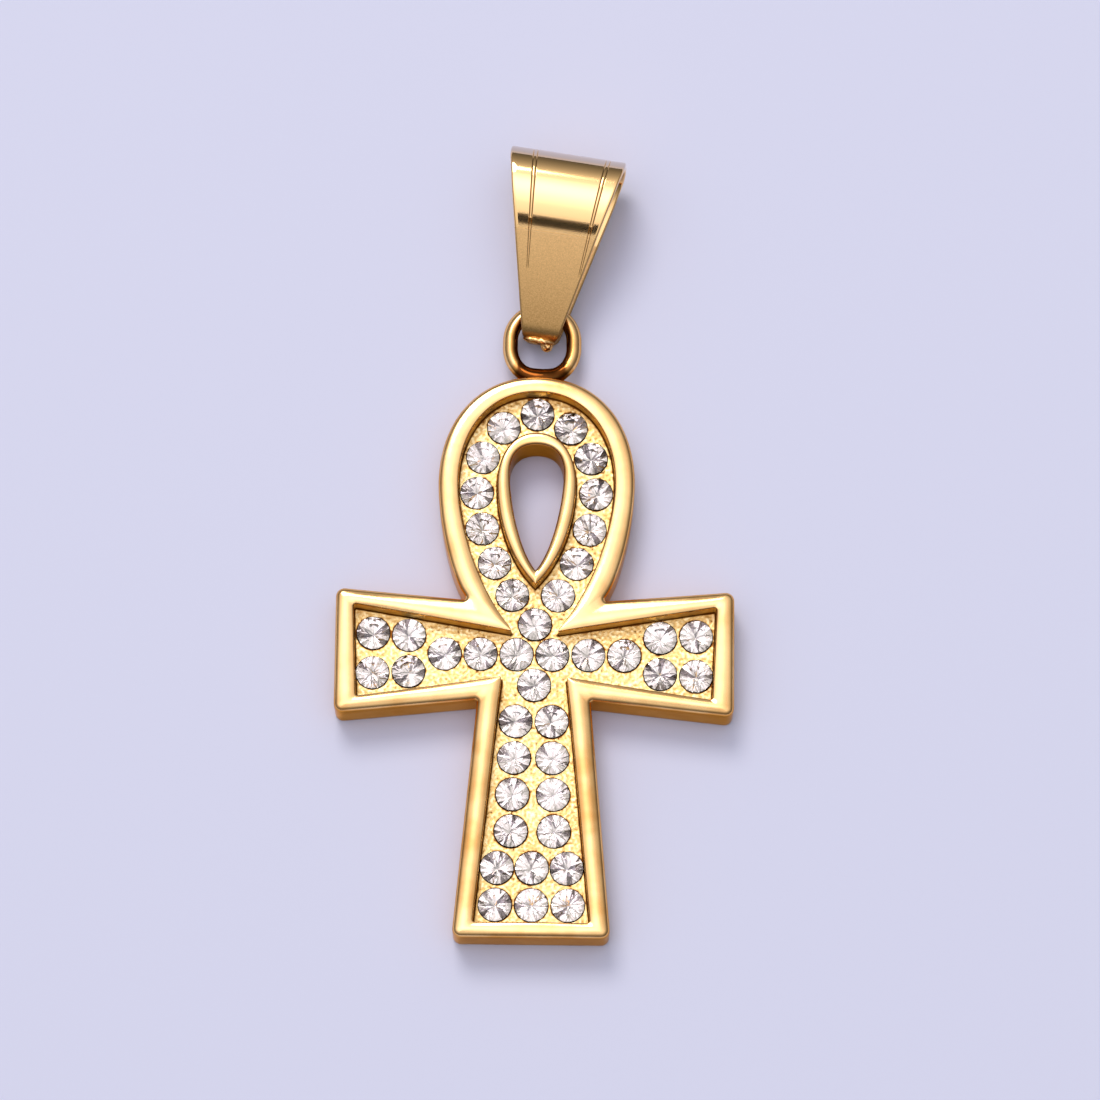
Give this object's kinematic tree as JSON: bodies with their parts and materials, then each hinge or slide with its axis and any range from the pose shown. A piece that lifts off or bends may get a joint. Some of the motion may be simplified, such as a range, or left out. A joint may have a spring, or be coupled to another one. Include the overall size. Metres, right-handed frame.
{
  "type": "ankh pendant with a folded strap bail",
  "caption": "Ankh pendant: gold-coloured cast cross with a teardrop loop, its sunk face set with round clear stones, hung by a tapered folded strap bail on a soldered eyelet.",
  "frame": {"origin": "on the flat back of the body, straight below the crossing of the arms; the pendant lies on its back on z = 0", "axes": "+Z out of the pendant's face, +Y from the crossing up to the loop and the bail, +X towards the right arm"},
  "size_m": [0.0216, 0.044, 0.0051],
  "materials": {
    "gold": "polished gold plate",
    "crystal": "clear cut crystal, foiled behind"
  },
  "bodies": {
    "ankh": {"ankh": "gold", "stone_01": "crystal", "stone_02": "crystal", "stone_03": "crystal", "stone_04": "crystal", "stone_05": "crystal", "stone_06": "crystal", "stone_07": "crystal", "stone_08": "crystal", "stone_09": "crystal", "stone_10": "crystal", "stone_11": "crystal", "stone_12": "crystal", "stone_13": "crystal", "stone_14": "crystal", "stone_15": "crystal", "stone_16": "crystal", "stone_17": "crystal", "stone_18": "crystal", "stone_19": "crystal", "stone_20": "crystal", "stone_21": "crystal", "stone_22": "crystal", "stone_23": "crystal", "stone_24": "crystal", "stone_25": "crystal", "stone_26": "crystal", "stone_27": "crystal", "stone_28": "crystal", "stone_29": "crystal", "stone_30": "crystal", "stone_31": "crystal", "stone_32": "crystal", "stone_33": "crystal", "stone_34": "crystal", "stone_35": "crystal", "stone_36": "crystal", "stone_37": "crystal", "stone_38": "crystal", "stone_39": "crystal", "stone_40": "crystal", "stone_41": "crystal", "stone_42": "crystal", "stone_43": "crystal"},
    "bail": {"bail": "gold"}
  },
  "joints": [
    {"name": "bail_swing", "type": "hinge", "parent": "ankh", "child": "bail", "pos_m": [0.00032, 0.01949, 0.0014], "axis": [0.989, -0.1478, 0], "range_deg": [-38, 16]}
  ]
}
